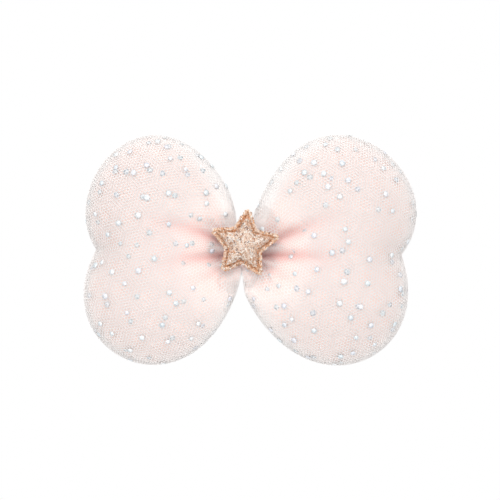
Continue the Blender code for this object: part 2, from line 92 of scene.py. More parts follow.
# Folds run out of the waist: side, start x and z, heading, length, depth, width at both ends, upward bow
FOLDS = [
    (-1, -2.0, 0.9, 165.0, 34.0, 2.2, 0.8, 3.2, 1.3),
    (-1, -2.0, -1.4, 187.0, 27.0, 2.7, 0.8, 3.0, 0.4),
    (-1, -2.0, 2.2, 143.0, 14.0, 0.7, 0.7, 1.8, 0.0),
    (-1, -2.0, -3.0, 207.0, 22.0, 0.9, 0.8, 2.6, 0.0),
    (1, 2.0, 0.3, 22.0, 34.0, 2.1, 0.8, 3.2, -0.3),
    (1, 2.0, -1.7, -3.0, 31.0, 2.9, 0.8, 3.0, 0.5),
    (1, 2.0, 1.6, 46.0, 13.0, 0.7, 0.7, 1.8, 0.0),
    (1, 2.0, -3.0, -27.0, 18.0, 0.9, 0.8, 2.4, 0.0),
]

# Net
PITCH = 1.0 * MM  # across the flats of a cell
STRAND = 0.145 * MM  # side of a strand's triangular section
CUT = (0.112, 0.078)  # the flat piece of tulle that a ply is cut from
PLY_GAP = 0.36 * MM  # from the outer ply down to the inner one
DOT_ACROSS, DOT_THICK = 1.85 * MM, 0.06 * MM
DOT_SPACING = 7.4 * MM
DOT_LIFT, DOT_LIFT_UNDER = 0.12 * MM, -0.26 * MM  # both from the outer ply

# Small parts
LAY = 9000.0  # how fast a laid thread's plies turn, in radians to the metre
RIB = 0.62 * MM  # pitch of the ribbon's ribs
ARM_Y = -2.0 * MM  # middle plane of the clip's fixed arm
HINGE_X, HINGE_Y = 10.0 * MM, 0.4 * MM

# Lamps: name, place, size, watts
LAMPS = [
    ("key", (0.05, -1.15, 0.9), 1.2, 5.9),
    ("fill", (-0.1, -1.6, 0.35), 1.0, 7.9),
    ("rear", (-0.3, 1.5, 0.5), 1.2, 7.0),
]


# ------------------------------------------------------------------ outline and depth of the wings
def egg_reach(lobe, side):
    """Distance from the wing's centre to the egg, as a function of the direction."""
    cx, cz, half_length, half_width, lean, taper = LOBES[lobe]
    around = np.linspace(0.0, 2 * math.pi, 721)
    along = half_length * np.cos(around)
    across = half_width * np.sin(around) * (1 + taper * np.cos(around))
    c, s = math.cos(math.radians(lean)), math.sin(math.radians(lean))
    x = (cx + along * c - across * s) * MM - side * WING_CENTRE_X
    z = (cz + along * s + across * c) * MM
    direction = np.arctan2(z, side * x)
    order = np.argsort(direction)
    reach = np.hypot(x, z)[order]
    direction = direction[order]
    return lambda angle: np.interp(angle, direction, reach, period=2 * math.pi)


EGGS = {name: egg_reach(name, 1 if name.startswith("right") else -1) for name in LOBES}


def outline(side, u):
    """Points of a wing's outline: u runs from -1 below the waist round the wing to 1 above it."""
    name = "right" if side > 0 else "left"
    angle = np.where(u > 0, SWEEP_UP * u, SWEEP_DOWN * u)
    upper = EGGS[name + "_upper"](angle)
    lower = EGGS[name + "_lower"](angle)
    reach = np.where(angle > 0, upper, lower)
    reach = np.where(np.abs(angle) < math.radians(50), np.maximum(upper, lower), reach)
    to_plane = WING_CENTRE_X - side * CLOSING_X
    drop = to_plane * np.tan(angle)
    parted = to_plane - PARTING * np.maximum(drop - PARTING_Z, 0.0)
    limit = np.where(angle < -2.0, parted / np.maximum(-np.cos(angle), 0.05), 1.0)
    reach = soft_min(reach, limit, 0.3 * MM)
    return side * (WING_CENTRE_X + reach * np.cos(angle)), reach * np.sin(angle)


def inset_outline(side, u, inset):
    """The outline moved inwards by inset, square to itself; inset may differ from point to point."""
    step = 0.012
    x0, z0 = outline(side, np.clip(u - step, -1, 1))
    x1, z1 = outline(side, np.clip(u + step, -1, 1))
    x, z = outline(side, u)
    length = np.maximum(np.hypot(x1 - x0, z1 - z0), 1e-9)
    return x - side * inset * (z1 - z0) / length, z + side * inset * (x1 - x0) / length


def soft_min(a, b, width=0.8 * MM):
    least = (a + b - np.sqrt((a - b) ** 2 + width**2)) / 2
    return least + width**2 / 8 / np.maximum(np.maximum(a, b), width)


def smooth(t):
    t = np.clip(t, 0.0, 1.0)
    return t * t * (3 - 2 * t)


def folds(x, z):
    """How far the folds that run out of the waist press the surface in."""
    pressed = np.zeros_like(x)
    for side, fx, fz, heading, length, deep, near, far, bow in FOLDS:
        c, s = math.cos(math.radians(heading)), math.sin(math.radians(heading))
        along = ((x - fx * MM) * c + (z - fz * MM) * s) / (length * MM)
        above = side * ((z - fz * MM) * c - (x - fx * MM) * s)
        bowed = above - bow * MM * np.sin(np.clip(along, 0, 1) * math.pi)
        width = (near + (far - near) * np.clip(along, 0, 1)) * MM
        fade = 1 - smooth(along)
        grip = smooth(along * length / 9 + 0.35)
        here = smooth(side * x / (1.5 * MM))
        pressed += deep * MM * np.exp(-((bowed / width) ** 2)) * fade * grip * here
    return pressed


def gathers(x, z):
    """Small uneven pleats close to the waist."""
    radius = np.hypot(np.abs(x) - 1.5 * MM, z)
    angle = np.arctan2(z, np.abs(x) + 2.0 * MM)
    strength = 0.30 * MM * np.exp(-((radius / (12 * MM)) ** 2)) * smooth(radius / (5 * MM))
    return strength * (np.sin(13 * angle + 0.7 + 2 * np.sign(x)) + 0.6 * np.sin(23 * angle + 1.9))


def gathered(x, z):
    """How strongly the cloth is drawn together, from 0 on the open lobes to 1 in a fold at the waist; the
    finishes paint shade by it.
    """
    waist = 0.24 * np.exp(-((np.hypot(x, 1.6 * z) / (13 * MM)) ** 2))
    return np.clip(waist + folds(x, z) / (2.6 * MM), 0, 1)


def forward(x, z):
    """How far the wings' rim is drawn forward where the two wings meet under the star."""
    return 3.4 * MM * np.exp(-((x / (5 * MM)) ** 2) - ((z + 6.0 * MM) / (4.0 * MM)) ** 2)


class Puff:
    """One layer of the bow: its outline in plan and its depth in front and behind."""

    def __init__(self, inset, depth_share, cap_drop):
        self.inset = inset
        self.depth_share = depth_share
        self.cap_drop = cap_drop
        self.pinch_x = PINCH_X + 0.4 * inset(0.0)
        self.pinch_z = PINCH_Z - 0.3 * inset(0.0)
        u = np.linspace(-1, 1, 121)
        right, left = self.wing_rim(1, u), self.wing_rim(-1, u)
        strip = [(self.pinch_x, self.pinch_z), (-self.pinch_x, self.pinch_z)]
        floor = [(-self.pinch_x, -self.pinch_z), (self.pinch_x, -self.pinch_z)]
        self.rim = np.vstack([right, strip, left[::-1], floor])

    def wing_rim(self, side, u):
        return np.array(inset_outline(side, u, self.inset(u))).T

    def plan(self, side, u, t):
        """Where line u of a wing is, a share t of its way from the waist to the outline."""
        end = self.wing_rim(side, u)
        start = np.stack([side * self.pinch_x + 0 * u, self.pinch_z * u], axis=-1)
        over = np.stack([side * (self.pinch_x + 1.4 * MM) + 0 * u, 6.3 * MM * u], axis=-1)
        under = np.stack([side * (self.pinch_x + 0.5 * MM) + 0 * u, 5.3 * MM * u], axis=-1)
        beside = np.where((u < 0)[..., None], under, over)
        middle = (start + end) / 2
        bend = middle + (beside - middle) * np.abs(u)[..., None] ** 10
        t = t[..., None]
        return start * (1 - t) ** 2 + bend * 2 * t * (1 - t) + end * t * t

    def depth(self, x, z):
        """Half depth of the puff before it is pressed, from its mean distance to the outline."""
        pull = np.zeros_like(x)
        for start, end in zip(self.rim, np.roll(self.rim, -1, axis=0)):
            length = max(math.hypot(*(end - start)), 1e-9)
            ux, uz = (end - start) / length
            rx, rz = x - start[0], z - start[1]
            s0 = rx * ux + rz * uz
            off = np.maximum(np.abs(rx * uz - rz * ux), 1e-6)
            s1 = s0 - length
            pull += (s0 / np.hypot(s0, off) - s1 / np.hypot(s1, off)) / off**2
        mean_distance = np.sqrt(2 / pull)
        pinched = 1 - PINCH_DIP * np.exp(-((np.hypot(x, z) / PINCH_REACH) ** 2))
        return np.sqrt(PUFF * mean_distance) * pinched * self.depth_share

    def half_depth(self, face, x, z):
        """Half depth in front (face -1), pressed by the star, or behind (face 1), with the clip's valley."""
        depth = self.depth(x, z)
        if face < 0:
            cap = STAR_CAP - self.cap_drop + clear_of_star(x, z) ** 2 / (4.0 * MM)
            pressed = soft_min(depth, cap, 2.2 * MM)
        else:
            away = np.maximum(np.abs(z) - VALLEY_Z, 0.0)
            pressed = soft_min(depth * BACK_SHARE, VALLEY_DEPTH - self.cap_drop + away**2 / (9 * MM))
        room = smooth(pressed / (4 * MM))
        share = 1.0 if face < 0 else 0.45
        shaped = np.maximum(pressed - share * room * (folds(x, z) + gathers(x, z)), 0.12 * pressed)
        if face < 0:
            return np.hypot(shaped, forward(x, z))
        return shaped - forward(x, z) * (1 - smooth(shaped / (3 * MM)))


def clear_of_star(x, z):
    """About how far a point lies outside the star's outline; 0 behind the star."""
    rim = star_outline(0.0)
    bearing = np.unwrap(np.arctan2(rim[:, 1], rim[:, 0]))
    here = np.arctan2(z - STAR_Z, x - STAR_X)
    reach = np.interp(here, bearing, np.hypot(*rim.T), period=2 * math.pi)
    return np.maximum(0.7 * (np.hypot(x - STAR_X, z - STAR_Z) - reach) - 0.3 * MM, 0.0)


def net_inset(u):
    return 0.0 * u


def lining_inset(u):
    return LINING_INSET * (1 - 0.92 * smooth((-u - 0.82) / 0.13) - 0.7 * smooth((u - 0.9) / 0.09))


def undyed_width(x, u):
    """How wide the lining is left undyed: most along the right wing's inner edges."""
    inner = np.exp(-(((u - 0.74) / 0.2) ** 2)) * np.where(x >= 0, 6.5, 5.0)
    below = np.exp(-(((u + 0.74) / 0.2) ** 2)) * np.where(x >= 0, 3.0, 2.8)
    return (inner + below - 1.5) * MM


NET = Puff(net_inset, 1.0, 0.0)
LINING = Puff(lining_inset, 0.95, LINING_CAP)


# ------------------------------------------------------------------ mesh helpers
def mesh_object(name, verts, faces, materials=(), smooth_shade=True):
    """A mesh from arrays of points and of faces with the same number of corners."""
    verts = np.asarray(verts, np.float32).reshape(-1, 3)
    groups = faces if isinstance(faces, list) else [faces]
    mesh = bpy.data.meshes.new(name)
    loops = np.concatenate([np.asarray(g, np.int32).ravel() for g in groups])
    counts = np.concatenate([np.full(len(g), np.shape(g)[1], np.int32) for g in groups])
    mesh.vertices.add(len(verts))
    mesh.vertices.foreach_set("co", verts.ravel())
    mesh.loops.add(len(loops))
    mesh.loops.foreach_set("vertex_index", loops)
    mesh.polygons.add(len(counts))
    mesh.polygons.foreach_set("loop_start", np.concatenate([[0], np.cumsum(counts)[:-1]]).astype(np.int32))
    mesh.update(calc_edges=True)
    mesh.validate()
    if smooth_shade:
        mesh.shade_smooth()
    obj = bpy.data.objects.new(name, mesh)
    bpy.context.scene.collection.objects.link(obj)
    for material in materials:
        mesh.materials.append(material)
    return obj


def grid_faces(rows, columns, wrap=False, start=0):
    """Quads of a grid of points stored row by row; wrap joins the last column to the first."""
    i, j = np.meshgrid(np.arange(rows - 1), np.arange(columns if wrap else columns - 1), indexing="ij")
    k = (j + 1) % columns
    here, there = i * columns, (i + 1) * columns
    return np.stack([here + j, here + k, there + k, there + j], axis=-1).reshape(-1, 4) + start


def unit(v):
    return v / np.maximum(np.linalg.norm(v, axis=-1, keepdims=True), 1e-12)


def path_run(points):
    """Distance along a path at each of its points."""
    return np.concatenate([[0], np.cumsum(np.linalg.norm(np.diff(points, axis=0), axis=1))])


def evenly(points, count):
    """The same path with count points evenly spaced along it."""
    run = path_run(points)
    at = np.linspace(0, run[-1], count)
    return np.stack([np.interp(at, run, column) for column in points.T], axis=-1)


def resample(points, spacing):
    points = np.asarray(points, float)
    return evenly(points, max(int(path_run(points)[-1] / spacing), 2))


def prisms(starts, ends, normals, side):
    """Open-ended triangular strands from starts to ends, one flat facing out along the normals."""
    along = unit(ends - starts)
    across = unit(np.cross(along, normals))
    out = np.cross(across, along)
    ring = []
    for angle in np.radians((30.0, 150.0, 270.0)):
        ring.append(side / math.sqrt(3) * (math.cos(angle) * across + math.sin(angle) * out))
    ring = np.stack(ring, axis=1)
    verts = np.concatenate([starts[:, None] + ring, ends[:, None] + ring], axis=1)
    base = 6 * np.arange(len(starts))[:, None, None]
    quads = base + np.array([[0, 1, 4, 3], [1, 2, 5, 4], [2, 0, 3, 5]])[None]
    return verts.reshape(-1, 3), quads.reshape(-1, 4)


def flakes(centres, normals, radius, thickness, spin):
    """Thin hexagonal flakes, one at each centre, lying square to its normal."""
    helper = np.where(np.abs(normals[:, :1]) < 0.8, np.array([[1.0, 0, 0]]), np.array([[0, 0, 1.0]]))
    across = unit(np.cross(normals, helper))
    up = np.cross(normals, across)
    turn = spin[:, None] + np.radians(60.0 * np.arange(6))[None]
    ring = np.cos(turn)[..., None] * across[:, None] + np.sin(turn)[..., None] * up[:, None]
    ring *= radius[:, None, None]
    half = normals[:, None] * thickness / 2
    verts = np.concatenate([centres[:, None] + ring + half, centres[:, None] + ring - half], axis=1)
    base = 12 * np.arange(len(centres))[:, None]
    k = np.arange(6)
    lids = np.concatenate([base + k, base + 11 - k])
    after = (k + 1) % 6
    sides = base[..., None] + np.stack([k + 6, after + 6, after, k], axis=-1)
    return verts.reshape(-1, 3), [lids, sides.reshape(-1, 4)]


def tube(name, path, radius, material, sides=8, closed=False, plies=0, ply_depth=0.0):
    """A thread or wire along a path of points, round or laid up from plies."""
    path = np.asarray(path, float)
    if closed:
        tangent = unit(np.roll(path, -1, axis=0) - np.roll(path, 1, axis=0))
    else:
        tangent = unit(np.gradient(path, axis=0))
    up = np.array([0.0, 1.0, 0.0])
    ups = np.zeros_like(path)
    for i, t in enumerate(tangent):
        up = unit(up - t * np.dot(up, t))
        ups[i] = up
    run = path_run(path)
    angle = 2 * math.pi * np.arange(sides)[None] / sides
    reach = radius * (1 + ply_depth * np.cos(plies * angle - LAY * run[:, None]))
    verts = path[:, None] + (np.cos(angle) * reach)[..., None] * ups[:, None]
    verts += (np.sin(angle) * reach)[..., None] * np.cross(tangent, ups)[:, None]
    groups = [grid_faces(len(path), sides, wrap=True)]
    first, last = np.arange(sides), np.arange(sides) + (len(path) - 1) * sides
    if closed:
        groups.append(np.stack([last, np.roll(last, -1), np.roll(first, -1), first], axis=-1))
    else:
        groups += [first[None, ::-1], last[None]]
    return mesh_object(name, verts, groups, [material])


def two_faced(name, faces, material, wrap=False):
    """A thin solid from its two faces, each a grid of points; wrap joins the last column to the first."""
    rows, columns = faces[0].shape[:2]
    index = np.arange(rows * columns).reshape(rows, columns)
    if wrap:
        rings = [index[0], index[-1]]
    else:
        rings = [np.concatenate([index[0], index[1:, -1], index[-1, -2::-1], index[-2:0:-1, 0]])]
    top = grid_faces(rows, columns, wrap)
    quads = [top, top[:, ::-1] + index.size]
    for ring in rings:
        after = np.roll(ring, -1)
        quads.append(np.stack([after, ring, ring + index.size, after + index.size], axis=-1))
    piece = mesh_object(name, np.concatenate([f.reshape(-1, 3) for f in faces]), quads, [material])
    bm = bmesh.new()
    bm.from_mesh(piece.data)
    bmesh.ops.recalc_face_normals(bm, faces=bm.faces)
    bm.to_mesh(piece.data)
    bm.free()
    return piece


def stacked(name, outlines, ends, material):
    """A closed solid from outlines one on another, with a fan of triangles to a point at each end."""
    count = len(outlines[0])
    last, near, far = count * (len(outlines) - 1), count * len(outlines), count * len(outlines) + 1
    k = np.arange(count)
    after = (k + 1) % count
    lids = [[after, k, np.full(count, near)], [last + k, last + after, np.full(count, far)]]
    fans = np.concatenate([np.stack(lid, axis=-1) for lid in lids])
    sides = grid_faces(len(outlines), count, wrap=True)
    return mesh_object(name, np.concatenate([*outlines, ends]), [sides, fans], [material])


def on_bow(piece, slot, *nodes):
    """Puts a piece on the bow's body, in place of the CAD nodes named; the slot argument is not used."""
    if nodes:
        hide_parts(*nodes)
    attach(piece, "bow")


def paint(obj, name, values):
    """Stores a value at each point of the mesh, for its material."""
    mark = obj.data.attributes.new(name, "FLOAT", "POINT")
    mark.data.foreach_set("value", np.asarray(values, np.float32))


def store_gathered_shade_mask(obj):
    """Stores how gathered the cloth is at each point, the mask for the painted shade in its finish."""
    co = np.zeros(len(obj.data.vertices) * 3, np.float32)
    obj.data.vertices.foreach_get("co", co)
    x, _, z = co.reshape(-1, 3).astype(float).T
    paint(obj, "gathered", gathered(x, z))


# ------------------------------------------------------------------ surface of the net, with its flat pattern
class NetFace:
    """Front or back of one wing, seen as cloth: polar flat coordinates about the wing's centre."""

    DIRECTIONS = 541
    STEPS = 150

    def __init__(self, side, face):
        self.side, self.face = side, face
        rim = NET.wing_rim(side, np.linspace(-1, 1, 1201))
        to_rim = np.linspace(0, 1, 16)
        below = NET.plan(side, -np.ones(16), to_rim)
        above = NET.plan(side, np.ones(16), to_rim[::-1])
        edge = np.vstack([[(0.0, -PINCH_Z)], below, rim, above, [(0.0, PINCH_Z)]])
        rel = edge - np.array([side * WING_CENTRE_X, 0.0])
        bearing = np.maximum.accumulate(np.unwrap(np.arctan2(rel[:, 1], side * rel[:, 0])))
        self.theta = np.linspace(-math.pi, math.pi, self.DIRECTIONS)
        reach = np.interp(self.theta, bearing, np.hypot(*rel.T))
        at_waist = np.abs(self.theta) > abs(bearing[0])
        to_middle = WING_CENTRE_X / np.maximum(-np.cos(self.theta), 0.3)
        reach = np.where(at_waist, to_middle, reach)
        share = np.sin(np.linspace(0, math.pi / 2, self.STEPS))
        d = reach[:, None] * share
        x = side * (WING_CENTRE_X + d * np.cos(self.theta)[:, None])
        z = d * np.sin(self.theta)[:, None]
        depth = NET.half_depth(face, x.ravel(), z.ravel()).reshape(x.shape)
        on_rim = (share > 0.9999) & ~at_waist[:, None]
        depth = np.where(on_rim, -face * forward(x, z), depth)
        lines = np.stack([x, MID_Y + face * (RIM_Y + depth), z], axis=-1)
        self.total = np.array([path_run(line)[-1] for line in lines])
        self.points = np.stack([evenly(line, self.STEPS) for line in lines])
        normals = unit(np.cross(np.gradient(self.points, axis=0), np.gradient(self.points, axis=1)))
        normals = normals * np.where(normals[..., 1:2] * face < 0, -1, 1)
        normals[:, :3] = normals[:, 3:4]
        self.normals = normals

    def squeeze(self, phi, r):
        """Cloth is gathered towards the waist: its lines lie closer there than in the flat."""
        back = math.pi - np.abs(phi)
        grip = smooth((r - 6 * MM) / (16 * MM)) * smooth((1.1 - back) / 1.1)
        return np.sign(phi) * (math.pi - back * (1 - 0.42 * grip))

    def at(self, flat, lift=0.0):
        """Points and normals on the surface for flat points, and their reach from centre to rim."""
        r = np.hypot(flat[:, 0], flat[:, 1])
        phi = self.squeeze(np.arctan2(flat[:, 1], flat[:, 0]), r)
        column = (phi + math.pi) / (2 * math.pi) * (self.DIRECTIONS - 1)
        i = np.clip(column.astype(int), 0, self.DIRECTIONS - 2)
        fi = (column - i)[:, None]
        reach = r / np.interp(phi, self.theta, self.total)
        row = np.clip(reach, 0, 1) * (self.STEPS - 1)
        j = np.clip(row.astype(int), 0, self.STEPS - 2)
        fj = (row - j)[:, None]

        def blend(grid):
            near = grid[i, j] * (1 - fj) + grid[i, j + 1] * fj
            far = grid[i + 1, j] * (1 - fj) + grid[i + 1, j + 1] * fj
            return near * (1 - fi) + far * fi

        normals = unit(blend(self.normals))
        return blend(self.points) + normals * lift, normals, reach

    def area(self):
        """Area of one side of the surface."""
        p = self.points
        around, outward = p[1:, :-1] - p[:-1, :-1], p[:-1, 1:] - p[:-1, :-1]
        return float(np.linalg.norm(np.cross(around, outward), axis=-1).sum())


def honeycomb(extent, turn, shift):
    """Ends of the edges of a flat net of hexagons, as two arrays of flat points."""
    a1 = np.array([PITCH, 0.0])
    a2 = np.array([PITCH / 2, PITCH * math.sqrt(3) / 2])
    count = int(extent / PITCH * 1.3)
    i, j = np.meshgrid(np.arange(-count, count + 1), np.arange(-count, count + 1), indexing="ij")
    root = i[..., None] * a1 + j[..., None] * a2
    knot = root + np.array([0.0, PITCH / math.sqrt(3)])
    starts = np.concatenate([knot.reshape(-1, 2)] * 3)
    ends = np.concatenate([root.reshape(-1, 2), (root + a2).reshape(-1, 2), (root + a2 - a1).reshape(-1, 2)])
    c, s = math.cos(math.radians(turn)), math.sin(math.radians(turn))
    spin = np.array([[c, s], [-s, c]])
    near = np.hypot(*(starts + shift).T) < extent
    return (starts[near] @ spin) + shift, (ends[near] @ spin) + shift


def net_ply(name, faces, turn, lift, material):
    """One ply of tulle over both wings: a real net of strands, cut at the wings' outline."""
    starts, ends, outward, openness = [], [], [], []
    for face in faces:
        lean = turn if face.side > 0 else 9.0 - turn
        flat = honeycomb(48 * MM, lean, np.array([0.31, 0.17]) * MM * face.side)
        (p0, n0, r0), (p1, n1, r1) = (face.at(points, lift) for points in flat)
        length = np.linalg.norm(p1 - p0, axis=1)
        keep = (np.minimum(r0, r1) < 1.0) & (length > 0.05 * MM) & (length < 1.6 * MM)
        starts.append(p0[keep])
        ends.append(p1[keep])
        outward.append(unit(n0[keep] + n1[keep]))
        # Openness is low near the waist and the rim, where the finish paints the strands lighter: painted
        # light where they fall in shade.
        off_waist = smooth((np.hypot(p0[keep, 0], p0[keep, 2]) - 9 * MM) / (14 * MM))
        off_rim = smooth((1 - (r0 + r1)[keep] / 2) / 0.4)
        openness.append(np.repeat(off_waist * off_rim, 6))
    verts, strands = prisms(*(np.concatenate(each) for each in (starts, ends, outward)), STRAND)
    ply = mesh_object(name, verts, strands, [material])
    paint(ply, "open", np.concatenate(openness))
    store_gathered_shade_mask(ply)
    return ply


def scattered(faces, spacing, seed, dense=None):
    """Flat points spread unevenly over each face, no two closer than a part of the spacing."""
    rng = np.random.default_rng(seed)
    most = 96 * (5.6 * MM / spacing) ** 2
    chosen = []
    for face in faces:
        picked = np.empty((0, 2))
        for _ in range(5200):
            p = rng.uniform(-44 * MM, 44 * MM, 2)
            if face.at(p[None])[2][0] > 0.975:
                continue
            limit = spacing * (dense(face, p) if dense else 1.0) * rng.uniform(0.35, 1.0)
            if len(picked) and np.min(np.hypot(*(picked - p).T)) < limit:
                continue
            picked = np.vstack([picked, p])
            if len(picked) > most:
                break
        chosen.append((face, picked))
    return chosen


def foil_dots(name, places, lift, material, seed):
    """Hexagonal foil flakes bonded to the net."""
    rng = np.random.default_rng(seed)
    rows = []
    for face, flat in places:
        centres, normals, _ = face.at(flat, lift)
        normals = unit(normals + rng.normal(0, 0.07, normals.shape))
        radius = DOT_ACROSS / 2 * rng.uniform(0.78, 1.08, len(centres))
        spin = rng.uniform(0, 6.28, len(centres))
        rows.append(np.column_stack([centres, normals, radius, spin]))
    dots = np.concatenate(rows)
    verts, faces = flakes(dots[:, :3], dots[:, 3:6], dots[:, 6], DOT_THICK, dots[:, 7])
    return mesh_object(name, verts, faces, [material], False)


# ------------------------------------------------------------------ materials
class Finish:
    """Builds one procedural material; its methods add nodes and return their outputs."""

    def __init__(self, name):
        self.material = bpy.data.materials.new(name)
        self.material.use_nodes = True
        self.tree = self.material.node_tree
        self.shader = self.tree.nodes["Principled BSDF"]
        self.place = self.node("ShaderNodeTexCoord")["Object"]

    def feed(self, socket, value):
        if isinstance(value, bpy.types.NodeSocket):
            self.tree.links.new(value, socket)
        else:
            socket.default_value = (*value, 1.0) if socket.type == "RGBA" else value

    def node(self, kind, inputs=(), **settings):
        """Adds a node; each of its inputs is a value or another node's output."""
        node = self.tree.nodes.new(kind)
        for key, value in settings.items():
            setattr(node, key, value)
        for key, value in dict(inputs).items():
            self.feed(node.inputs[key], value)
        return node.outputs

    def set(self, **inputs):
        for key, value in inputs.items():
            self.feed(self.shader.inputs[key.replace("_", " ")], value)

    def stretched(self, scale):
        return self.node("ShaderNodeMapping", {"Vector": self.place, "Scale": scale})["Vector"]

    def noise(self, size, detail=3.0, rough=0.5, at=None):
        """Noise with features about size across, in metres."""
        inputs = {"Vector": at or self.place, "Scale": 1 / size, "Detail": detail, "Roughness": rough}
        return self.node("ShaderNodeTexNoise", inputs)["Fac"]

    def wave(self, pitch, direction, distortion=0.0):
        """Parallel ridges, one every pitch metres."""
        scale = 2 * math.pi / 20 / pitch
        inputs = {"Vector": self.place, "Scale": scale, "Distortion": distortion}
        inputs.update({"Detail": 1.0, "Detail Scale": 3.0})
        return self.node("ShaderNodeTexWave", inputs, bands_direction=direction)["Fac"]

    def each(self):
        """A random number from 0 to 1 for each separate flake or strand."""
        return self.node("ShaderNodeNewGeometry")["Random Per Island"]

    def painted(self, name):
        return self.node("ShaderNodeAttribute", attribute_name=name)["Fac"]

    def ramp(self, value, stops, mode="LINEAR"):
        node = self.tree.nodes.new("ShaderNodeValToRGB")
        node.color_ramp.interpolation = mode
        marks = node.color_ramp.elements
        while len(marks) < len(stops):
            marks.new(0.5)
        for mark, (at, colour) in zip(marks, stops):
            mark.position = at
            mark.color = (*colour, 1.0)
        self.feed(node.inputs["Fac"], value)
        return node.outputs["Color"]

    def math(self, operation, a, b=0.0, clamp=False):
        return self.node("ShaderNodeMath", {0: a, 1: b}, operation=operation, use_clamp=clamp)[0]

    def mix(self, share, a, b, mode="MIX"):
        inputs = {"Factor": share, "A": a, "B": b}
        return self.node("ShaderNodeMix", inputs, data_type="RGBA", blend_type=mode)["Result"]

    def bumped(self, height, distance, strength=1.0):
        """The finished material, with a bump."""
        inputs = {"Height": height, "Distance": distance, "Strength": strength}
        self.set(Normal=self.node("ShaderNodeBump", inputs)["Normal"])
        return self.material


def darker(colour, share):
    return tuple(share * c for c in colour)


def net_finish(name, bright):
    """Fine white filament, with painted light whitening it near the rim and the waist, and a painted pink
    shade where the cloth is gathered in the folds and at the waist.
    """
    f = Finish(name)
    tone = tuple(bright * c for c in (1.0, 0.985, 0.98))
    shade = tuple(bright * c for c in (0.93, 0.91, 0.905))
    colour = f.mix(f.noise(9 * MM), shade, tone)
    colour = f.mix(f.math("MULTIPLY", f.each(), 0.35), colour, (bright, bright, bright))
    # Painted light: the strands are painted lighter near the rim and the waist, where they fall in shade.
    colour = f.mix(f.painted("open"), (0.97, 0.955, 0.945), colour)
    # Painted shade and pink bounce light: the strands turn darker pink where the cloth is gathered.
    colour = f.mix(f.math("MULTIPLY", f.painted("gathered"), 0.85), colour, (0.88, 0.60, 0.57))
    f.set(Base_Color=colour, Roughness=f.math("MULTIPLY_ADD", f.noise(2 * MM), 0.2), Sheen_Weight=0.5)
    f.set(Specular_IOR_Level=0.4)
    return f.bumped(f.noise(0.4 * MM), 0.01 * MM, 0.4)


def foil_finish(name, bright):
    """Crumpled pearly film: each flake has its own tint, partly the film's own and partly painted reflection,
    with painted shade mottled over its creased facets.
    """
    f = Finish(name)
    # Each flake's tint: partly the film's iridescent tint, partly painted reflection, some flakes greyer as
    # if reflecting darker surroundings.
    hue = f.ramp(f.each(), [
        (0.0, (0.99, 0.995, 1.0)), (0.2, (0.86, 0.91, 0.94)), (0.4, (0.97, 0.96, 0.97)),
        (0.6, (0.9, 0.89, 0.95)), (0.8, (0.8, 0.87, 0.9)), (1.0, (1.0, 0.98, 0.97)),
    ])
    crumple = f.noise(0.36 * MM, 2.0)
    # Painted shade and reflection: the creased facets are painted darker grey-blue.
    painted_facet_shade = f.ramp(crumple, [(0.4, (0.7, 0.75, 0.77)), (0.5, (0.91, 0.92, 0.93)), (0.6, (1.0, 1.0, 1.0))])
    hue = f.mix(1.0, f.mix(1.0, hue, painted_facet_shade, "MULTIPLY"), (bright, bright, bright), "MULTIPLY")
    f.set(Base_Color=hue, Roughness=0.35, Coat_Weight=0.4)
    return f.bumped(crumple, 0.06 * MM, 0.9)


def lining_finish():
    """Pink cloth, with painted shade making it deeper pink in the folds and at the waist (at the waist partly
    the layers of pink cloth), and left undyed towards the rim.
    """
    f = Finish("pink_lining_cloth")
    # Darker pink towards the waist: partly the layers of pink cloth there, partly painted shade and pink
    # bounce light.
    spread = f.node("ShaderNodeVectorMath", {0: f.stretched((1.0, 0.2, 2.2))}, operation="LENGTH")["Value"]
    near = f.math("DIVIDE", spread, 34 * MM, clamp=True)
    pink = f.ramp(near, [(0.0, (0.92, 0.67, 0.63)), (0.35, (0.93, 0.70, 0.65)), (1.0, (0.93, 0.75, 0.70))])
    blotch = f.mix(f.noise(11 * MM, 2.0), (0.97, 0.97, 0.97), (1.0, 1.0, 1.0))
    pink = f.mix(1.0, pink, blotch, "MULTIPLY")
    dyed = f.math("DIVIDE", f.math("ADD", f.painted("from_rim"), 5.0 * MM), 10.0 * MM, clamp=True)
    pale = f.ramp(dyed, [(0.0, (0.96, 0.94, 0.93)), (0.5, (0.95, 0.87, 0.84)), (1.0, (0.93, 0.79, 0.75))])
    pink = f.mix(f.ramp(dyed, [(0.5, (0, 0, 0)), (1.0, (1, 1, 1))]), pale, pink)
    # Painted shade: darker pink in the folds and at the waist, by the gathered mask.
    pink = f.mix(f.math("MULTIPLY", f.painted("gathered"), 0.7), pink, (0.87, 0.43, 0.40))
    weave = f.math("ADD", f.wave(0.32 * MM, "X", 1.0), f.wave(0.32 * MM, "Z", 1.0))
    pink = f.mix(f.math("MULTIPLY", weave, 0.06), pink, (0.99, 0.86, 0.82))
    f.set(Base_Color=pink, Roughness=0.78, Sheen_Weight=0.25)
    return f.bumped(weave, 0.03 * MM, 0.5)


def satin_finish(name, colour):
    f = Finish(name)
    threads = f.wave(0.16 * MM, "X", 0.6)
    floats = f.noise(0.5 * MM, 2.0, at=f.stretched((6.0, 1.0, 1.0)))
    share = f.math("MULTIPLY", threads, floats)
    f.set(Base_Color=f.mix(share, darker(colour, 0.86), colour), Sheen_Weight=0.3)
    f.set(Roughness=f.math("MULTIPLY_ADD", floats, 0.25), Anisotropic=0.5)
    return f.bumped(f.math("ADD", threads, floats), 0.02 * MM, 0.6)


def felt_finish(name, colour):
    f = Finish(name)
    fibres = f.noise(0.35 * MM, 6.0, 0.7, at=f.stretched((1.0, 1.0, 2.6)))
    f.set(Base_Color=f.mix(fibres, darker(colour, 0.88), colour), Roughness=0.95, Sheen_Weight=0.4)
    return f.bumped(f.math("ADD", fibres, f.noise(1.4 * MM)), 0.12 * MM, 0.8)


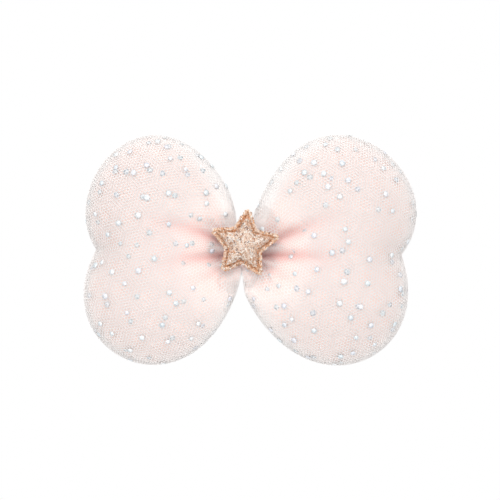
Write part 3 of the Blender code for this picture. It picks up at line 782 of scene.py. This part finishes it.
def thread_finish(name, colour):
    f = Finish(name)
    fibre = f.noise(0.12 * MM)
    f.set(Base_Color=f.mix(fibre, darker(colour, 0.8), colour), Roughness=0.45, Sheen_Weight=0.2)
    return f.bumped(fibre, 0.02 * MM, 0.6)


def grosgrain_finish():
    f = Finish("grosgrain_ribbon")
    ribs = f.wave(RIB, "X")
    yarn = f.math("MULTIPLY", f.wave(0.2 * MM, "Z", 0.8), 0.25)
    f.set(Base_Color=f.mix(ribs, (0.86, 0.68, 0.64), (0.95, 0.82, 0.79)), Roughness=0.6, Sheen_Weight=0.3)
    return f.bumped(f.math("ADD", ribs, yarn), 0.09 * MM)


def steel_finish(name, tone, rough):
    f = Finish(name)
    brushed = f.noise(0.5 * MM, 4.0, 0.6, at=f.stretched((0.12, 1.0, 2.5)))
    colour = f.mix(f.noise(2.2 * MM), darker(tone, 0.9), tone)
    f.set(Base_Color=f.mix(f.math("MULTIPLY", brushed, 0.3), colour, (0.62, 0.6, 0.58)), Metallic=1.0)
    f.set(Roughness=f.math("MULTIPLY_ADD", brushed, rough))
    return f.bumped(brushed, 0.01 * MM, 0.5)


def glitter_ground():
    """The lacquered cloth under the flakes."""
    f = Finish("glitter_cloth")
    grain = f.node("ShaderNodeTexVoronoi", {"Vector": f.place, "Scale": 1 / (0.3 * MM)})["Color"]
    split = f.node("ShaderNodeSeparateColor", {0: grain})
    colour = f.ramp(split[0], [
        (0.0, (0.5, 0.24, 0.12)), (0.35, (0.74, 0.4, 0.22)), (0.7, (0.88, 0.6, 0.42)),
        (1.0, (0.95, 0.78, 0.64)),
    ])
    f.set(Base_Color=colour, Metallic=0.55, Roughness=0.4)
    return f.bumped(split[1], 0.08 * MM)


def glitter_flake(name, stops):
    f = Finish(name)
    grain = f.noise(0.2 * MM, 2.0)
    colour = f.ramp(f.each(), stops, "CONSTANT")
    f.set(Base_Color=f.mix(1.0, colour, f.mix(grain, (0.88, 0.88, 0.88), (1, 1, 1)), "MULTIPLY"))
    f.set(Metallic=0.85, Roughness=f.math("MULTIPLY_ADD", grain, 0.2))
    return f.bumped(grain, 0.01 * MM, 0.4)


def glue_finish():
    f = Finish("hot_melt_glue")
    cloudy = f.noise(1.5 * MM)
    f.set(Base_Color=f.mix(cloudy, (0.86, 0.82, 0.74), (0.95, 0.93, 0.88)), Roughness=0.28)
    f.set(Transmission_Weight=0.2, IOR=1.48)
    return f.bumped(cloudy, 0.2 * MM, 0.5)


# ------------------------------------------------------------------ padded lining
def pouch_arrays(lines=34, rows=150, strip=6):
    """The pink cloth pouch: front and back sheets over both wings and the waist, joined at the rim."""
    columns = 2 * lines + strip + 1
    v = np.linspace(-1, 1, rows + 1)
    u = v * (1.3 - 0.3 * v * v)
    x = np.zeros((rows + 1, columns))
    z = np.zeros_like(x)
    ease = (1 - np.cos(np.linspace(0, 1, lines + 1) * math.pi)) / 2
    for k in range(lines + 1):
        x[:, k], z[:, k] = LINING.plan(-1, u, np.full_like(u, ease[lines - k])).T
        x[:, lines + strip + k], z[:, lines + strip + k] = LINING.plan(1, u, np.full_like(u, ease[k])).T
    for k in range(1, strip):
        x[:, lines + k] = LINING.pinch_x * (2 * k / strip - 1)
        z[:, lines + k] = LINING.pinch_z * u
    rim = np.ones_like(x, bool)
    rim[1:-1, 1:-1] = False
    sheets = []
    for face in (-1, 1):
        depth = LINING.half_depth(face, x.ravel(), z.ravel()).reshape(x.shape)
        offset = np.where(rim, -forward(x, z), face * (RIM_Y * 0.6 + depth))
        sheets.append(np.stack([x, MID_Y + offset, z], axis=-1).reshape(-1, 3))
    order = np.arange(x.size)
    back = np.where(rim.ravel(), order, order + x.size)
    front_faces = grid_faces(rows + 1, columns)
    verts, faces = np.concatenate(sheets), np.concatenate([front_faces, back[front_faces][:, ::-1]])
    used = np.unique(faces)
    renumber = np.full(len(verts), -1)
    renumber[used] = np.arange(len(used))
    from_rim = edge_distance(NET.rim, np.stack([x.ravel(), z.ravel()], axis=-1))
    from_rim -= undyed_width(x, u[:, None]).ravel()
    return verts[used], renumber[faces], np.tile(from_rim, 2)[used]


def relax_as_cloth(points, faces, hold, cap):
    """Points after a short inflated cloth simulation, none moved further than cap."""
    enlarge = 10.0  # the simulation works on a larger copy
    work = mesh_object("cloth_work", points * enlarge, faces)
    group = work.vertex_groups.new(name="hold")
    group.add([int(i) for i in np.nonzero(hold)[0]], 1.0, "REPLACE")
    cloth = work.modifiers.new("cloth", "CLOTH")
    cloth.collision_settings.use_collision = False
    settings = cloth.settings
    settings.quality = 4
    settings.mass = 0.2
    settings.tension_stiffness = settings.compression_stiffness = 12
    settings.shear_stiffness = 4
    settings.bending_stiffness = 0.35
    settings.use_pressure = True
    settings.uniform_pressure_force = 4
    settings.effector_weights.gravity = 0
    settings.vertex_group_mass = "hold"
    settings.shrink_min = -0.035
    for step in range(1, 21):
        bpy.context.scene.frame_set(step)
    result = work.evaluated_get(bpy.context.evaluated_depsgraph_get()).to_mesh()
    moved = np.zeros(len(result.vertices) * 3, np.float32)
    result.vertices.foreach_get("co", moved)
    bpy.context.scene.frame_set(1)
    bpy.data.objects.remove(work, do_unlink=True)
    shift = moved.reshape(-1, 3) / enlarge - points
    far = np.linalg.norm(shift, axis=1, keepdims=True)
    return points + shift * np.minimum(1.0, cap / np.maximum(far, 1e-9))


def make_lining():
    points, faces, from_rim = pouch_arrays()
    waist = np.hypot(points[:, 0], points[:, 2]) < 9 * MM
    points = relax_as_cloth(points, faces, waist, CLOTH_GIVE)
    pouch = mesh_object("padded_pink_pouch", points, faces, [lining_finish()])
    paint(pouch, "from_rim", from_rim)
    store_gathered_shade_mask(pouch)
    on_bow(pouch, "lining", "front_lining", "back_lining", "left_wadding", "right_wadding")


# ------------------------------------------------------------------ tulle
def crowded(face, p):
    """The dots lie closer together in a patch of the right wing's upper lobe."""
    if face.side < 0 or face.face > 0:
        return 1.0
    return 1.0 - 0.35 * math.exp(-((p[0] + 4 * MM) ** 2 + (p[1] - 16 * MM) ** 2) / (10 * MM) ** 2)


def make_net():
    """Two plies of net in front and two behind, each with its own foil dots."""
    # Painted shade: the inner ply and the dots under the net get darker copies of their finishes for lying
    # under the outer ply.
    outer_finish, inner_finish = net_finish("white_tulle", 0.865), net_finish("white_tulle_under_painted_shade", 0.85)
    bright_foil = foil_finish("iridescent_foil", 0.91)
    shaded_under_foil = foil_finish("iridescent_foil_under_net_painted_shade", 0.86)
    for face, word in ((-1, "front"), (1, "back")):
        sides = [NetFace(side, face) for side in (-1, 1)]
        area = min(sum(s.area() for s in sides), CUT[0] * CUT[1])
        outer = net_ply(word + "_net_outer_ply", sides, 24.0, 0.0, outer_finish)
        inner = net_ply(word + "_net_inner_ply", sides, 17.0, -PLY_GAP, inner_finish)
        places = scattered(sides, DOT_SPACING, 3 + face, crowded)
        top = foil_dots(word + "_foil_dots", places, DOT_LIFT, bright_foil, 5)
        places = scattered(sides, DOT_SPACING * 1.08, 13 + face)
        low = foil_dots(word + "_foil_dots_under", places, DOT_LIFT_UNDER, shaded_under_foil, 6)
        for ply, dots in ((outer, top), (inner, low)):
            on_bow(ply, "net", word + "_net_cover")
            on_bow(dots, "net")


def make_seams():
    """Turned rim of each wing, and the raw edges folded in behind it."""
    rim_white = net_finish("net_seam", 0.95)
    for side, word in ((-1, "left"), (1, "right")):
        u = np.linspace(-0.955, 0.985, 420)
        x, z = inset_outline(side, u, 0.25 * MM)
        path = np.stack([x, MID_Y - forward(x, z) + 0.05 * MM * np.sin(u * 260), z], axis=-1)
        rim = tube(word + "_rim_seam", path, 0.36 * MM, rim_white, sides=10, plies=2, ply_depth=0.06)
        u = np.linspace(-0.95, 0.97, 500)
        rows = []
        for k, inset in enumerate((0.5, 1.1, 1.7, 2.3)):
            frayed = 0.12 * np.sin(u * 310 + k) * (k / 3)
            x, z = inset_outline(side, u, (inset + frayed) * MM)
            lean = 0.25 * MM * np.sin(u * 170 + 2 * k) * (k / 3)
            rows.append(np.stack([x, MID_Y - forward(x, z) + lean, z], axis=-1))
        thick = np.array([0.0, 0.12 * MM, 0.0])
        faces = [np.stack(rows) - thick, np.stack(rows) + thick]
        allowance = two_faced(word + "_turned_in_edge", faces, rim_white)
        on_bow(allowance, "net", word + "_seam_allowance")
        on_bow(rim, "net")


# ------------------------------------------------------------------ star
def star_outline(inset, per_edge=14, arc_steps=5):
    """The star's outline moved inwards by inset, with round tips, as points from its centre."""
    half_angle = math.atan2(
        STAR_R_IN * math.sin(math.radians(36)),
        STAR_R_OUT - STAR_R_IN * math.cos(math.radians(36)),
    )
    tip_back = inset / math.sin(half_angle)
    notch_back = inset / math.sin(half_angle + math.radians(36))
    round_r = max(STAR_TIP_R - inset * 0.3, 0.35 * MM)
    corners = []
    for k in range(10):
        reach, turn = STAR_TIPS[k // 2] if k % 2 == 0 else (STAR_R_IN / MM, 0.0)
        heading = STAR_LEAN + math.radians(90 + 36 * k + turn)
        outward = np.array([math.cos(heading), math.sin(heading)])
        if k % 2:
            corners.append([outward * (STAR_R_IN - notch_back)])
            continue
        centre = outward * (reach * MM - tip_back + 0.9 * round_r - round_r / math.sin(half_angle))
        arc = []
        for step in range(-arc_steps, arc_steps + 1):
            angle = heading + (math.pi / 2 - half_angle) * step / arc_steps
            arc.append(centre + round_r * np.array([math.cos(angle), math.sin(angle)]))
        corners.append(arc)
    points = []
    for here, there in zip(corners, corners[1:] + corners[:1]):
        points += here
        for step in range(1, per_edge):
            points.append(here[-1] + (there[0] - here[-1]) * step / per_edge)
    return np.array(points)


def on_star(flat, y):
    """Points in space from flat points about the star's centre and their y."""
    x, z = STAR_X + flat[..., 0], STAR_Z + flat[..., 1]
    return np.stack([x, np.broadcast_to(y, x.shape), z], axis=-1)


def edge_distance(outline_points, p):
    """Distance from each point of p to a closed outline."""
    a = outline_points
    ab = np.roll(a, -1, axis=0) - a
    ap = p[:, None] - a[None]
    share = np.clip((ap * ab).sum(-1) / (ab * ab).sum(-1), 0, 1)
    return np.linalg.norm(ap - share[..., None] * ab[None], axis=-1).min(axis=1)


def star_rise(inside):
    """Height over the border: a rolled edge, a sewn groove, then the padded dome."""
    roll = 0.30 * MM * np.exp(-(((inside - 0.5 * MM) / (0.42 * MM)) ** 2))
    groove = -0.12 * MM * np.exp(-(((inside - STAR_GROOVE) / (0.2 * MM)) ** 2))
    pad = STAR_RISE * (1 - np.exp(-np.maximum(inside - 1.2 * MM, 0.0) / (1.25 * MM)))
    return roll + groove + pad


def make_star():
    rim = star_outline(0.0)
    shares = (1 - np.linspace(0, 1, 46)[:-1]) ** 0.75
    flat = rim[None] * shares[:, None, None]
    inside = edge_distance(rim, flat.reshape(-1, 2)).reshape(flat.shape[:2])
    lumps = 0.10 * MM * np.sin(flat[..., 0] / (1.3 * MM) + 0.5) * np.sin(flat[..., 1] / (1.1 * MM))
    height = star_rise(inside) + lumps * smooth((inside - 1.5 * MM) / (1.5 * MM))
    rear_y = STAR_FRONT_Y + 0.45 * MM
    middle = np.zeros((1, 2))
    top = STAR_FRONT_Y - star_rise(edge_distance(rim, middle))
    outlines = [on_star(rim * 0.99, rear_y), *on_star(flat, STAR_FRONT_Y - height)]
    ends = np.concatenate([on_star(middle, rear_y), on_star(middle, top)])
    body = stacked("padded_glitter_star", outlines, ends, glitter_ground())
    on_bow(body, "glitter", "star_front_fabric", "star_padding")
    star_flakes(rim)
    star_thread()
    star_back()


def star_flakes(rim):
    """Glitter flakes stuck all over the star, thinner on the sewn groove."""
    rng = np.random.default_rng(21)
    p = rng.uniform(-11 * MM, 11 * MM, (10500, 2))
    angle = np.arctan2(p[:, 1], p[:, 0])
    rim_angle = np.unwrap(np.arctan2(rim[:, 1], rim[:, 0]))
    limit = np.interp(angle, rim_angle, np.hypot(*rim.T), period=2 * math.pi)
    p = p[np.hypot(*p.T) < limit - 0.02 * MM]
    inside = edge_distance(rim, p)
    keep = (np.abs(inside - STAR_GROOVE) >= 0.22 * MM) | (rng.random(len(p)) < 0.8)
    p, inside = p[keep], inside[keep]
    step = 0.05 * MM
    here, right, above = (
        star_rise(edge_distance(rim, p + shift)) for shift in ([0, 0], [step, 0], [0, step])
    )
    normals = unit(np.stack([(here - right) / step, -np.ones(len(p)), (here - above) / step], axis=-1))
    normals = unit(normals + rng.normal(0, 0.5, normals.shape))
    centres = on_star(p, STAR_FRONT_Y - here - rng.uniform(0.02, 0.14, len(p)) * MM)
    radius = rng.uniform(0.18, 0.4, len(p)) * MM
    spin = rng.uniform(0, 6.28, len(p))
    champagne = glitter_flake("champagne_glitter", [
        (0.0, (0.93, 0.78, 0.66)), (0.22, (1.0, 0.97, 0.93)), (0.42, (0.85, 0.64, 0.5)),
        (0.62, (0.62, 0.4, 0.28)), (0.74, (1.0, 0.91, 0.84)), (0.86, (0.36, 0.27, 0.25)),
        (0.93, (0.66, 0.34, 0.19)),
    ])
    copper = glitter_flake("copper_glitter", [
        (0.0, (0.93, 0.66, 0.46)), (0.28, (0.82, 0.47, 0.27)), (0.5, (1.0, 0.88, 0.76)),
        (0.66, (0.7, 0.34, 0.17)), (0.82, (0.93, 0.78, 0.66)), (0.94, (0.4, 0.23, 0.16)),
    ])
    on_pad = (inside > 1.5 * MM) | ((inside < 0.85 * MM) & (rng.random(len(inside)) < 0.5))
    pieces = (("star_glitter", on_pad, champagne), ("star_border_glitter", ~on_pad, copper))
    for name, chosen, material in pieces:
        verts, faces = flakes(centres[chosen], normals[chosen], radius[chosen], 0.03 * MM, spin[chosen])
        on_bow(mesh_object(name, verts, faces, [material], False), "glitter")


def star_thread():
    """Backstitches sunk in the groove round the star."""
    path = star_outline(STAR_GROOVE, per_edge=16)
    rise = star_rise(edge_distance(star_outline(0.0), path))
    run = np.cumsum(np.linalg.norm(np.roll(path, -1, axis=0) - path, axis=1))
    loop = 0.1 * MM * np.abs(np.sin(run / (1.1 * MM) * math.pi))
    copper = thread_finish("copper_thread", (0.82, 0.44, 0.24))
    points = on_star(path, STAR_FRONT_Y - rise - loop)
    thread = tube("star_stitches", points, 0.1 * MM, copper, sides=6, closed=True)
    on_bow(thread, "star_thread", "star_edge_stitching")


def star_back():
    """Felt star behind the padding, with a softened edge."""
    low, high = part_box("star_backing")
    outlines = []
    for inset, share in ((0.35, 0.0), (0.1, 0.2), (0.1, 0.8), (0.35, 1.0)):
        outlines.append(on_star(star_outline(inset * MM), high.y + (low.y - high.y) * share))
    ends = [[STAR_X, high.y, STAR_Z], [STAR_X, low.y, STAR_Z]]
    back = stacked("felt_star_back", outlines, ends, felt_finish("blush_felt", (0.9, 0.78, 0.73)))
    on_bow(back, "felt", "star_backing")


# ------------------------------------------------------------------ band, ribbon, felt and clip
def woven_strip(name, path, half_width, thickness, ribs, material):
    """A ribbon along a path in the XY plane: crosswise ribs and a bead along both woven edges."""
    tangent = unit(np.gradient(path, axis=0))
    normal = np.stack([-tangent[:, 1], tangent[:, 0]], axis=-1)[:, None]
    across = np.linspace(-1, 1, 15)
    to_edge = 1 - np.abs(across)
    rib = ribs * (np.cos(2 * math.pi * path_run(path) / RIB) * 0.5 - 0.5)
    bead = 0.048 * MM * np.exp(-((to_edge * half_width / (0.35 * MM)) ** 2))
    swell = thickness / 2 + bead + rib[:, None] * smooth(to_edge * 8)
    faces = []
    for face in (1, -1):
        xy = path[:, None] + normal * (face * swell)[..., None]
        z = np.broadcast_to(across * half_width, swell.shape)
        faces.append(np.concatenate([xy, z[..., None]], axis=-1))
    return two_faced(name, faces, material)


def make_band():
    """Satin band wrapped round the waist and the clip's fixed arm, creased lengthwise."""
    low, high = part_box("waist_band")
    thickness, corner = 0.6 * MM, 1.0 * MM
    inset = thickness / 2 + corner
    loop = []
    for cy, cz, start in ((high.y - inset, high.z - inset, 0), (low.y + inset, high.z - inset, 90),
                          (low.y + inset, low.z + inset, 180), (high.y - inset, low.z + inset, 270)):
        for step in range(9):
            angle = math.radians(start + 90 * step / 8)
            loop.append((cy + corner * math.cos(angle), cz + corner * math.sin(angle)))
    loop = resample(loop + loop[:1], 0.25 * MM)[:-1]
    outward = unit(loop - np.roll(loop, 1, axis=0))[:, ::-1] * np.array([1, -1])
    across = np.linspace(-1, 1, 29)[:, None]
    crease = 0.10 * MM * np.cos(across * 3.2 * math.pi) * (0.6 + 0.4 * np.sin(np.arange(len(loop)) / 9.0))
    x = np.broadcast_to(across * (high.x - low.x) / 2, crease.shape)
    faces = []
    for face in (1, -1):
        swell = face * (thickness / 2 - 0.12 * MM) + crease
        faces.append(np.concatenate([x[..., None], loop + outward * swell[..., None]], axis=-1))
    band = two_faced("satin_waist_band", faces, satin_finish("pink_satin", (0.9, 0.6, 0.56)), wrap=True)
    on_bow(band, "satin", "waist_band")


def make_ribbon():
    """Ribbon along the outside of the fixed arm, round its tip and back along its gripping face."""
    off = abs(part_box("clip_ribbon")[0].y - ARM_Y) - 0.2 * MM
    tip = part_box("clip_top_arm")[0].x
    path = [(22.0 * MM, ARM_Y - off), (tip, ARM_Y - off)]
    for step in range(1, 12):
        angle = math.radians(-90 - 180 * step / 12)
        path.append((tip + off * math.cos(angle), ARM_Y + off * math.sin(angle)))
    path = resample(path + [(tip, ARM_Y + off), (4.0 * MM, ARM_Y + off)], RIB / 4)
    ribbon = woven_strip("grosgrain_clip_ribbon", path, 3.45 * MM, 0.34 * MM, 0.05 * MM, grosgrain_finish())
    on_bow(ribbon, "grosgrain", "clip_ribbon")


def make_felt():
    """Felt strip between the gathers and the clip, with round ends and softened edges."""
    low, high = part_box("felt_backing")
    half_x, half_z = (high.x - low.x) / 2, (high.z - low.z) / 2
    angle = np.linspace(0, 2 * math.pi, 160, endpoint=False)
    outlines = []
    for inset, share in ((0.3, 0.0), (0.05, 0.25), (0.05, 0.75), (0.3, 1.0)):
        radius = half_z - inset * MM
        x = np.sign(np.cos(angle)) * (half_x - half_z) + radius * np.cos(angle)
        y = np.full(len(angle), high.y + (low.y - high.y) * share)
        outlines.append(np.stack([x, y, radius * np.sin(angle)], axis=-1))
    ends = [[0, high.y, 0], [0, low.y, 0]]
    felt = stacked("felt_strip", outlines, ends, felt_finish("white_felt", (0.92, 0.89, 0.87)))
    on_bow(felt, "felt", "felt_backing")


def make_thread():
    """Three turns of thread round the gathers."""
    low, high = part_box("gather_thread")
    radius, turns, per_turn = 0.15 * MM, 3, 48
    half_y = (high.y - low.y) / 2 - radius
    half_z = (high.z - low.z) / 2 - radius
    i = np.arange(per_turn * turns + 1)
    angle = 2 * math.pi * i / per_turn
    x = (i / i[-1] - 0.5) * (high.x - low.x - 2 * radius)
    path = np.stack([x, MID_Y - half_y * np.cos(angle), half_z * np.sin(angle)], axis=-1)
    pink = thread_finish("pink_thread", (0.9, 0.62, 0.58))
    thread = tube("gathering_thread", path, radius, pink, sides=9, plies=3, ply_depth=0.12)
    on_bow(thread, "thread", "gather_thread")


def make_spring():
    """Two and a half coils round the pin; one leg ends against the arm and one against the jaw."""
    low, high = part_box("torsion_spring")
    coil_radius, wire, half, fixed = 1.35 * MM, 0.22 * MM, 0.9 * MM, 0.65 * MM
    angle = -math.pi / 2 - np.linspace(0, 5 * math.pi, 200)
    z = np.linspace(-half, half, 200)
    x, y = HINGE_X + coil_radius * np.cos(angle), HINGE_Y + coil_radius * np.sin(angle)
    arm_leg = np.array([high.x - wire, low.y + wire, -half])
    jaw_leg = np.array([high.x - wire, high.y - wire, half])
    path = resample(np.vstack([arm_leg, np.stack([x, y, z], axis=-1), jaw_leg]), 0.1 * MM)
    steel = steel_finish("spring_steel", (0.7, 0.7, 0.72), 0.25)
    spring = tube("wound_torsion_spring", path, wire, steel, sides=12)
    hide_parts("torsion_spring")
    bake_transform(spring)


def finish_hard_nodes():
    """The clip and the glue pad keep their CAD shapes and get finishes here."""
    nickel = steel_finish("nickel_plated_steel", (0.76, 0.76, 0.78), 0.2)
    finishes = dict.fromkeys(("clip_top_arm", "clip_jaw", "hinge_pin"), nickel)
    finishes["star_glue_pad"] = glue_finish()
    for node, material in finishes.items():
        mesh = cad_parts[node].data
        mesh.materials.clear()
        mesh.materials.append(material)


# ------------------------------------------------------------------ floor, light and camera
def make_floor():
    finish = Finish("studio_floor")
    mottle = finish.mix(finish.noise(0.05), (0.84, 0.84, 0.84), (0.86, 0.86, 0.86))
    finish.set(Base_Color=mottle, Roughness=0.9)
    angle = np.linspace(0, 2 * math.pi, 96, endpoint=False)
    disc = np.stack([0.17 * np.cos(angle), 0.17 * np.sin(angle), 0 * angle], axis=-1)
    floor = mesh_object("floor", disc, np.arange(96)[None], [finish.material], False)
    floor.location = (0.0, MID_Y, -0.09)


def light_studio():
    """A white room, a little lighter above than below, and three soft lamps."""
    world = bpy.data.worlds.new("white_studio")
    world.use_nodes = True
    bpy.context.scene.world = world
    tree = world.node_tree
    kinds = ("TexCoord", "SeparateXYZ", "Math", "LightPath", "Mix")
    toward, height, soft, seen, strength = (tree.nodes.new("ShaderNode" + kind) for kind in kinds)
    soft.operation = "MULTIPLY_ADD"
    soft.inputs[1].default_value = 0.21
    soft.inputs[2].default_value = 0.92
    strength.inputs["B"].default_value = 1.0
    background = tree.nodes["Background"]
    background.inputs["Color"].default_value = (1.0, 1.0, 1.0, 1.0)
    tree.links.new(toward.outputs["Generated"], height.inputs[0])
    tree.links.new(height.outputs["Z"], soft.inputs[0])
    tree.links.new(seen.outputs["Is Camera Ray"], strength.inputs["Factor"])
    tree.links.new(soft.outputs[0], strength.inputs["A"])
    tree.links.new(strength.outputs["Result"], background.inputs["Strength"])
    for name, place, size, power in LAMPS:
        light = bpy.data.lights.new(name, "AREA")
        light.size, light.energy = size, power
        lamp = bpy.data.objects.new(name, light)
        lamp.location = place
        lamp.rotation_euler = (Vector((0, MID_Y, 0)) - Vector(place)).to_track_quat("-Z", "Y").to_euler()
        bpy.context.scene.collection.objects.link(lamp)
    bpy.context.scene.view_settings.view_transform = "Standard"
    bpy.context.scene.view_settings.look = "None"


def set_camera():
    """Straight on from far away, as a catalogue picture is taken."""
    field, lens, sensor = 0.151, 215.0, 36.0
    camera = bpy.data.cameras.new("camera")
    camera.lens, camera.sensor_width = lens, sensor
    camera.clip_start, camera.clip_end = 0.02, 20.0
    obj = bpy.data.objects.new("camera", camera)
    obj.location = (1.8 * MM, MID_Y - field * lens / sensor, 0.0)
    obj.rotation_euler = (math.radians(90), 0.0, 0.0)
    bpy.context.scene.collection.objects.link(obj)
    bpy.context.scene.camera = obj


set_camera()
make_lining()
make_net()
make_seams()
make_star()
make_band()
make_thread()
make_felt()
make_ribbon()
make_spring()
finish_hard_nodes()
make_floor()
light_studio()
